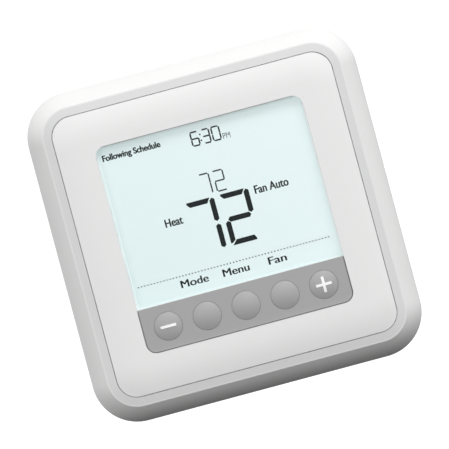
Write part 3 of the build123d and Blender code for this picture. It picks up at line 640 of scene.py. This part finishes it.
def figure(digit, left, right, low_z, high_z, stroke, gap):
    """One figure of thin bars, with a gap where bars meet, all in millimetres."""
    middle_z = (low_z + high_z) / 2
    half = stroke / 2
    turn = stroke * 0.7
    level = [left + half + gap / 2, right - half - gap / 2]
    upper = [middle_z + gap / 2, high_z - half - gap / 2]
    lower = [low_z + half + gap / 2, middle_z - gap / 2]
    sides = {
        "a": (*level, high_z - stroke, high_z),
        "g": (*level, middle_z - half, middle_z + half),
        "d": (*level, low_z, low_z + stroke),
        "b": (right - stroke, right, *upper),
        "c": (right - stroke, right, *lower),
        "f": (left, left + stroke, *upper),
        "e": (left, left + stroke, *lower),
    }
    trims = {
        "a": ((0, 0), (0, turn)),
        "b": ((0, 0), (0, turn)),
        "c": ((0, turn), (0, 0)),
        "d": ((turn, 0), (0, 0)),
        "e": ((turn, 0), (turn, 0)),
        "f": ((0, 0), (turn, 0)),
        "g": ((0, 0), (0, 0)),
    }
    return [bar(*sides[letter], *trims[letter]) for letter in BARS_OF[digit]]


SMALL = {"low_z": 10.1, "high_z": 16.8, "stroke": 0.42, "gap": 0.1}
small = figure("7", -3.9, -0.65, **SMALL)
small += figure("2", 0.4, 3.75, **SMALL)
finish_piece(join(small), "display_number_small", segment_ink, "thermostat")

CLOCK = {"low_z": 25.3, "high_z": 30.0, "stroke": 0.46, "gap": 0.08}
hour = figure("6", -3.3, -0.6, **CLOCK)
hour += figure("3", 0.4, 2.9, **CLOCK)
hour += figure("0", 3.3, 6.1, **CLOCK)
hour += [block(-0.4, 0.05, 26.5, 26.95), block(-0.4, 0.05, 28.35, 28.8)]
finish_piece(join(hour), "display_clock", segment_ink, "thermostat")
print("small figures:", len(small) + len(hour), "bars")

# %% [markdown]
# The words are plain functions of any thermostat. Each is set with the built-in face, made a mesh, and
# then stretched to its own width and height, because the display's letters are narrower. The display
# prints them bold, the key labels most. A thicker outline would close the corners of the M, so each word
# is struck twice instead, side by side, the second a hair in front of the first. A text made a mesh has
# its front, sides and back apart, so the points on its seams are merged.

# %% Words
SEAM = 0.0001


def word(text, left, right, low_z, high_z, bold, front_y=ink_y):
    """A word that fills the given box, on the display if no other place is given.
    Bold thickens its strokes. All is in metres, but bold is in the letters' own units."""
    start()
    bpy.ops.object.text_add(location=(0, 0, 0))
    bpy.context.object.data.body = text
    bpy.context.object.data.extrude = 0.5
    bpy.context.object.data.offset = bold
    bpy.ops.object.convert(target="MESH")
    bpy.ops.object.mode_set(mode="EDIT")
    bpy.ops.mesh.select_all(action="SELECT")
    bpy.ops.mesh.remove_doubles(threshold=SEAM)
    bpy.ops.object.mode_set(mode="OBJECT")
    bpy.ops.object.shade_flat()
    made = bpy.context.object
    xs = [v.co.x for v in made.data.vertices]
    ys = [v.co.y for v in made.data.vertices]
    wide = (right - left) / (max(xs) - min(xs))
    tall = (high_z - low_z) / (max(ys) - min(ys))
    made.scale = (wide, tall, INK_T)
    made.rotation_euler = (math.radians(90), 0, 0)
    made.location = (left - min(xs) * wide, front_y + INK_T / 2, low_z - min(ys) * tall)
    return apply_place(made)


STRIKE_RISE = 0.004 * MM
# Text, left, right, low and high side in millimetres, boldness, and shift of each strike
WORDS = [
    ("Following Schedule", -30.9, -12.7, 27.4, 29.95, 0.022, 0.05),
    ("Heat", -17.5, -12.0, 3.55, 6.1, 0.012, 0.06),
    ("Fan Auto", 11.6, 22.2, 6.55, 9.15, 0.012, 0.06),
    ("Mode", -17.6, -9.0, -15.5, -13.2, 0.0, 0.10),
    ("Menu", -4.3, 3.9, -15.5, -13.2, 0.0, 0.10),
    ("Fan", 10.1, 15.7, -15.5, -13.2, 0.0, 0.10),
]
words = []
for text, left, right, low_z, high_z, bold, strike in WORDS:
    for shift, rise in ((-strike, 0.0), (strike, STRIKE_RISE)):
        sides = ((left + shift) * MM, (right + shift) * MM)
        words.append(word(text, *sides, low_z * MM, high_z * MM, bold, ink_y - rise))
finish_piece(join(words), "display_words", segment_ink, "thermostat")
afternoon = word("PM", 6.5 * MM, 8.8 * MM, 25.35 * MM, 27.1 * MM, 0.0)
finish_piece(afternoon, "display_afternoon", word_ink, "thermostat")
print("words:", len(WORDS) + 1)

# %% [markdown]
# A dotted rule parts the status from the key labels.

# %% Dotted rule
DOT = 0.36
DOT_COUNT = 61
DOT_FIRST = -30.6
DOT_PITCH = 1.004
RULE_Z = -12.05
rule = []
for i in range(DOT_COUNT):
    left = DOT_FIRST + i * DOT_PITCH
    rule.append(block(left, left + DOT, RULE_Z, RULE_Z + DOT))
finish_piece(join(rule), "display_dotted_rule", segment_ink, "thermostat")
print("dotted rule:", DOT_COUNT, "dots")

# %% [markdown]
# ## Letters beside the wire terminals
# Installers find each wire by its letter, the same letters on any such thermostat. They are printed in
# white on the black blocks, below each push tab, and they ride on the wall plate.

# %% Terminal letters
LETTER_H = 2.0 * MM
LETTER_W = 1.44 * MM
LETTER_DROP = 0.7 * MM
block_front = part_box("terminal_block_left")[0].y
letters = []
for side, names in (("left", "CGOKL"), ("right", "RWYEA")):
    for number, letter in enumerate(names, start=1):
        tab_low, tab_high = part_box("push_tab_" + side + "_" + str(number))
        centre = (tab_low.x + tab_high.x) / 2
        sides = (centre - LETTER_W / 2, centre + LETTER_W / 2)
        top = tab_low.z - LETTER_DROP
        letters.append(word(letter, *sides, top - LETTER_H, top, 0.01, block_front - INK_T))
# The letters use mark_white, so they carry its painted glow.
finish_piece(join(letters), "terminal_letters", mark_white, "wall_plate")
print("terminal letters:", len(letters))

# %% [markdown]
# ## Picking faces
# The next pieces grow out of small blocks by extruding chosen faces. A test on each face chooses them, by
# its normal and its place.


# %% Pick faces
def pick(piece, test):
    """Leaves the piece in edit mode with only the faces selected that pass the test."""
    start()
    piece.select_set(True)
    bpy.context.view_layer.objects.active = piece
    bpy.ops.object.mode_set(mode="EDIT")
    bpy.ops.mesh.select_mode(type="FACE")
    bpy.ops.mesh.select_all(action="DESELECT")
    bpy.ops.object.mode_set(mode="OBJECT")
    for face in piece.data.polygons:
        face.select = bool(test(face))
    bpy.ops.object.mode_set(mode="EDIT")


ALONG = 0.9
CLOSE = 0.01 * MM


def grow(piece, way, reach, near_x=None):
    """Draws the end that faces this way out along it, by reach in metres. With near_x, only at that x."""
    facing = Vector(way)
    furthest = max(face.center.dot(facing) for face in piece.data.polygons) - CLOSE

    def chosen(face):
        at_end = face.normal.dot(facing) > ALONG and face.center.dot(facing) > furthest
        return at_end and (near_x is None or abs(face.center.x - near_x) < 10 * CLOSE)

    pick(piece, chosen)
    bpy.ops.mesh.extrude_region_move(TRANSFORM_OT_translate={"value": facing * reach})
    bpy.ops.object.mode_set(mode="OBJECT")


# %% [markdown]
# ## Gasket round the display
# A thin ring of white foam lies on the edge of the display glass, behind the lens, and keeps dust out. It
# reaches over the narrow gap round the glass, and its glow is painted light that brightens the window's
# shadowed edge. A flat block has its front and back faces inset, and a bridge between the two inner faces
# opens the middle.

# %% Gasket
GASKET_WIDTH = 0.4 * MM
GASKET_T = 0.13 * MM
PAST_GLASS = 0.12 * MM
foam = Finish("gasket_foam", (0.58, 0.66, 0.66), 0.8, Specular_IOR_Level=0.2)
cells = foam.noise(0.15 * MM, 2.0)
foam.set("Base Color", foam.mix(cells, (0.54, 0.62, 0.62), (0.62, 0.70, 0.70)))
# Painted glow: the foam's emission is light that no lamp gives.
foam.set("Emission Color", foam.mix(cells, (0.78, 0.92, 0.92), (0.84, 0.98, 0.98)))
foam.set("Emission Strength", 0.38)
foam.bump(cells, 0.01 * MM)
gasket = block(
    (glass_low.x - PAST_GLASS) / MM,
    (glass_high.x + PAST_GLASS) / MM,
    (glass_low.z - PAST_GLASS) / MM,
    (glass_high.z + PAST_GLASS) / MM,
    glass_low.y - GASKET_T,
    GASKET_T,
)
pick(gasket, lambda face: abs(face.normal.y) > ALONG)
bpy.ops.mesh.inset(thickness=GASKET_WIDTH)
bpy.ops.mesh.bridge_edge_loops()
bpy.ops.object.mode_set(mode="OBJECT")
finish_piece(gasket, "display_gasket", foam.material, "thermostat")
print("gasket:", len(gasket.data.polygons), "faces")

# %% [markdown]
# ## Signs beside the battery bay
# Raised plus and minus signs on the rear case tell which way each cell goes in. A small centre block grows
# two arms for a minus and four for a plus, so a plus is one clean body. It sinks a little into the case,
# and its outer edges are bevelled as a mould would leave them. The case's face is found from the screws,
# whose heads stand on it.

# %% Battery signs
SIGN = 3.4
SIGN_STROKE = 0.9
SIGN_PROUD = 0.35 * MM
SIGN_SUNK = 0.1 * MM
SIGN_OUT = 5.0
SIGN_BEVEL = 0.12 * MM
SCREW_HEAD = 1.8 * MM
case_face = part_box("case_screws")[1].y - SCREW_HEAD


def sign(x, z, is_plus):
    """A raised plus or minus on the rear case, centred on x and z in millimetres."""
    half = SIGN_STROKE / 2
    made = block(x - half, x + half, z - half, z + half, case_face - SIGN_SUNK, SIGN_SUNK + SIGN_PROUD)
    arm = (SIGN - SIGN_STROKE) / 2 * MM
    for way in ((1, 0, 0), (-1, 0, 0)):
        grow(made, way, arm)
    if is_plus:
        for way in ((0, 0, 1), (0, 0, -1)):
            grow(made, way, arm, x * MM)
    pick(made, lambda face: face.normal.y > ALONG)
    bpy.ops.mesh.region_to_loop()
    bpy.ops.mesh.bevel(offset=SIGN_BEVEL, segments=2, affect="EDGES")
    bpy.ops.object.mode_set(mode="OBJECT")
    return made


signs = []
for name, tip_way in (("battery_upper", 1), ("battery_lower", -1)):
    cell_low, cell_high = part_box(name)
    row = (cell_low.z + cell_high.z) / 2 / MM
    for side in (-1, 1):
        edge = cell_high.x if side > 0 else cell_low.x
        signs.append(sign(edge / MM + side * SIGN_OUT, row, side == tip_way))
finish_piece(join(signs), "battery_signs", back_plastic, "thermostat")
print("battery signs:", len(signs))

# %% [markdown]
# ## Legs of the microcontroller
# Each leg leaves the chip at half its height, drops to the board and turns outwards again. One leg is grown
# in those three steps, an array repeats it along one side, and turned copies serve the other sides.

# %% Chip legs
LEG_W = 0.5
LEG_PITCH = 1.1
LEG_COUNT = 8
LEG_T = 0.15 * MM
LEG_RUN = 0.35 * MM
FOOT_RUN = 0.55 * MM
FOOT_TIP = 0.2
chip_low, chip_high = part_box("microcontroller")
chip_middle = (chip_low + chip_high) / 2
board_back = chip_low.y
first_z = chip_middle.z / MM - LEG_PITCH * (LEG_COUNT - 1) / 2
side_x = chip_high.x / MM
leg = block(side_x, side_x + LEG_T / MM, first_z - LEG_W / 2, first_z + LEG_W / 2, chip_middle.y, LEG_T)
grow(leg, (1, 0, 0), LEG_RUN)
outer_end = chip_high.x + LEG_T + LEG_RUN / 3
pick(leg, lambda face: face.normal.y < -ALONG and face.center.x > outer_end)
bpy.ops.mesh.extrude_region_move(TRANSFORM_OT_translate={"value": (0, board_back - chip_middle.y, 0)})
bpy.ops.object.mode_set(mode="OBJECT")
pick(leg, lambda face: face.normal.x > ALONG and face.center.y < chip_middle.y - LEG_T)
bpy.ops.mesh.extrude_region_move(TRANSFORM_OT_translate={"value": (FOOT_RUN, 0, 0)})
bpy.ops.transform.resize(value=(1, FOOT_TIP, 1), center_override=(0, board_back, 0))
bpy.ops.object.mode_set(mode="OBJECT")
row = leg.modifiers.new("row", "ARRAY")
row.count = LEG_COUNT
row.use_relative_offset = False
row.use_constant_offset = True
row.constant_offset_displace = (0, 0, LEG_PITCH * MM)
bpy.ops.object.modifier_apply(modifier=row.name)
rows = [leg]
for quarter in (1, 2, 3):
    start()
    leg.select_set(True)
    bpy.context.view_layer.objects.active = leg
    bpy.ops.object.duplicate()
    turned = bpy.context.object
    bpy.ops.transform.rotate(value=math.radians(90 * quarter), orient_axis="Y", center_override=chip_middle)
    rows.append(turned)
finish_piece(join(rows), "chip_legs", steel, "thermostat")
print("chip legs:", 4 * LEG_COUNT)

# %% [markdown]
# ## Small parts on the board
# Fields of tiny resistors fill the board's back. A dark body and its two soldered caps are made once, with
# bevelled edges, and arrays repeat them in columns and rows.

# %% Resistor fields
CHIP_L = 1.6
CHIP_W = 0.8
CHIP_T = 0.5
CAP_L = 0.3
CAP_OVER = 0.05
CHIP_BEVEL = 0.06 * MM
COLUMN = 4.2
ROW = 4.6
# Left side, lower side, columns and rows of each field
FIELDS = [(-33.0, -21.0, 5, 4), (20.0, -21.0, 4, 4), (-12.0, -3.0, 5, 2)]


def field(piece, columns, rows_up):
    """Bevels the piece and repeats it in columns and rows."""
    pick(piece, lambda face: True)
    bpy.ops.mesh.bevel(offset=CHIP_BEVEL, segments=1, affect="EDGES")
    bpy.ops.object.mode_set(mode="OBJECT")
    for count, step in ((columns, (COLUMN * MM, 0, 0)), (rows_up, (0, 0, ROW * MM))):
        repeat = piece.modifiers.new("repeat", "ARRAY")
        repeat.count = count
        repeat.use_relative_offset = False
        repeat.use_constant_offset = True
        repeat.constant_offset_displace = step
        bpy.ops.object.modifier_apply(modifier=repeat.name)
    return piece


bodies, caps = [], []
for x, z, columns, rows_up in FIELDS:
    body = block(x + CAP_L, x + CHIP_L - CAP_L, z, z + CHIP_W, board_back, CHIP_T * MM)
    bodies.append(field(body, columns, rows_up))
    cap_sides = (z - CAP_OVER, z + CHIP_W + CAP_OVER)
    for cap_x in (x, x + CHIP_L - CAP_L):
        cap = block(cap_x, cap_x + CAP_L, *cap_sides, board_back, (CHIP_T + CAP_OVER) * MM)
        caps.append(field(cap, columns, rows_up))
finish_piece(join(bodies), "resistor_bodies", black_plastic, "thermostat")
finish_piece(join(caps), "resistor_caps", steel, "thermostat")
print("resistors:", sum(columns * rows_up for _, _, columns, rows_up in FIELDS))

# %% [markdown]
# ## Floor, light and camera
# The thermostat hangs on a wall that isn't shown. A pale floor lies far below it. The light is a large
# soft box above and in front, with a weaker sky that fades towards the floor.

# %% Floor
FLOOR_Z = -5.0
FLOOR_SIZE = 1.6
start()
bpy.ops.mesh.primitive_plane_add(size=FLOOR_SIZE, location=(0, 0, FLOOR_Z))
floor = bpy.context.object
floor.name = "floor"
pale = Finish("pale_floor", (0.8, 0.8, 0.79), 0.7)
floor_noise = pale.noise(0.05, 3.0)
pale.set("Base Color", pale.mix(floor_noise, (0.78, 0.78, 0.77), (0.83, 0.83, 0.82)))
floor.data.materials.append(pale.material)

# %% [markdown]
# The sky stands for the studio's white walls and ceiling. Its brightness depends only on the height of the
# direction, from straight down (-1) to straight up (1): brightest a little above level, dark below. Rays
# from the camera see plain white instead, so the background stays clean.

# %% Sky
SKY = [(-1.0, 0.0), (-0.5, 0.10), (0.0, 0.69), (0.2, 1.15), (0.4, 1.24), (0.7, 0.84), (1.0, 0.18)]
SKY_TOP = 1.25
world = bpy.data.worlds.new("studio")
scene.world = world
world.use_nodes = True
sky = world.node_tree
background = sky.nodes["Background"]
direction = sky.nodes.new("ShaderNodeTexCoord")
split = sky.nodes.new("ShaderNodeSeparateXYZ")
sky.links.new(direction.outputs["Generated"], split.inputs[0])
height = sky.nodes.new("ShaderNodeMapRange")
height.inputs["From Min"].default_value = -1.0
sky.links.new(split.outputs["Z"], height.inputs["Value"])
glow_of = sky.nodes.new("ShaderNodeValToRGB")
ramp = glow_of.color_ramp
ramp.elements.remove(ramp.elements[-1])
for z, glow_here in SKY:
    stop = ramp.elements[0] if z == -1.0 else ramp.elements.new((z + 1) / 2)
    stop.position = (z + 1) / 2
    stop.color = (glow_here / SKY_TOP, glow_here / SKY_TOP, glow_here / SKY_TOP, 1.0)
sky.links.new(height.outputs[0], glow_of.inputs[0])
seen = sky.nodes.new("ShaderNodeLightPath")
tone = sky.nodes.new("ShaderNodeMix")
tone.data_type = "RGBA"
colours = [socket for socket in tone.inputs if socket.type == "RGBA"]
sky.links.new(seen.outputs["Is Camera Ray"], tone.inputs["Factor"])
sky.links.new(glow_of.outputs["Color"], colours[0])
colours[1].default_value = (1.0, 1.0, 1.0, 1.0)
sky.links.new([socket for socket in tone.outputs if socket.type == "RGBA"][0], background.inputs["Color"])
background.inputs["Strength"].default_value = SKY_TOP


# %% [markdown]
# One large lamp hangs above, in front and to the right. A broad lamp gives the skirt its soft shading and
# still leaves a shadow under the window's upper edge.


# %% Soft box
def soft_box(name, place, aim, size, watts):
    """An area light at a place, turned towards its aim."""
    bpy.ops.object.light_add(type="AREA", location=place)
    holder = bpy.context.object
    holder.name = name
    holder.rotation_euler = (Vector(aim) - Vector(place)).to_track_quat("-Z", "Y").to_euler()
    light = holder.data
    light.shape = "RECTANGLE"
    light.size, light.size_y = size
    light.energy = watts
    return light


KEY_PLACE = (0.381, -0.711, 0.847)
KEY_SIZE = (0.7, 0.5)
KEY_WATTS = 5.6
soft_box("key", KEY_PLACE, (0, 0, 0), KEY_SIZE, KEY_WATTS)
print("key lamp", KEY_WATTS, "W")

# %% [markdown]
# The camera looks straight at the front through a long lens, so that no side shows, and it is rolled by
# fifteen degrees.

# %% Camera
VIEW_WIDTH = 137.53 * MM
LENS = 1000.0
SENSOR = 36.0
ROLL = 15.0
FOCUS_Y = -18 * MM
distance = VIEW_WIDTH * LENS / SENSOR
bpy.ops.object.camera_add(location=(0.0, FOCUS_Y - distance, 0.0))
camera = bpy.context.object
camera.data.lens = LENS
camera.data.sensor_width = SENSOR
camera.data.clip_end = 100.0
facing = Matrix.Rotation(math.radians(90), 3, "X") @ Matrix.Rotation(math.radians(-ROLL), 3, "Z")
camera.rotation_euler = facing.to_euler("XYZ")
scene.camera = camera
scene.view_settings.view_transform = "Standard"
print("camera", round(distance, 3), "m away")
